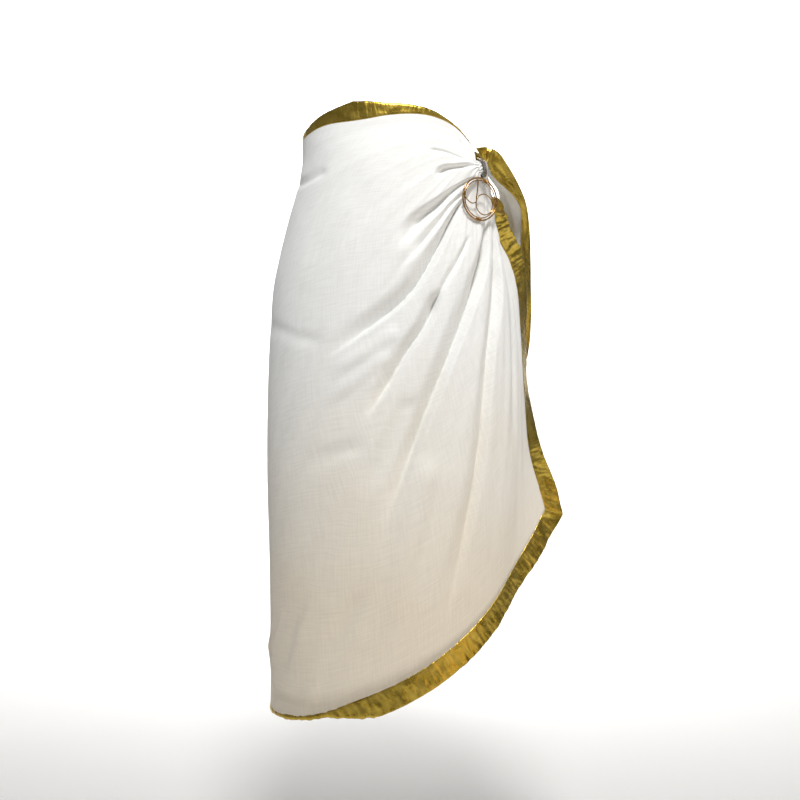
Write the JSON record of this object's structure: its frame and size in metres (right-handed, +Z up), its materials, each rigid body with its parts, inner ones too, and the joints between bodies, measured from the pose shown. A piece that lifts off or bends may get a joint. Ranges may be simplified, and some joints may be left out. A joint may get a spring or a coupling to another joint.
{
  "type": "sarong",
  "caption": "Wrap skirt of thin cloth with shiny borders, wound once round the hips and gathered at one hip through a loop that carries an openwork ring, its corner hanging behind.",
  "frame": {"origin": "middle of the waist, at the level where the cloth grips the body", "axes": "+Z up along the body, -Y to the wearer's front, +X to the wearer's left, where the cloth is gathered"},
  "size_m": [0.4443, 0.2692, 0.8788],
  "materials": {
    "voile": "matt",
    "gold_border": "metallic",
    "crystal_band": "glittering",
    "ring_wire": "polished"
  },
  "bodies": {
    "root": {"front_wrap": "voile", "back_wrap": "voile", "tail": "voile", "knot": "voile", "waist_border_front": "gold_border", "waist_border_back": "gold_border", "side_border_front": "gold_border", "side_border_back": "gold_border", "hem_border_front": "gold_border", "hem_border_back": "gold_border", "tail_border_top": "gold_border", "bail": "crystal_band", "ring": "ring_wire"}
  },
  "joints": []
}
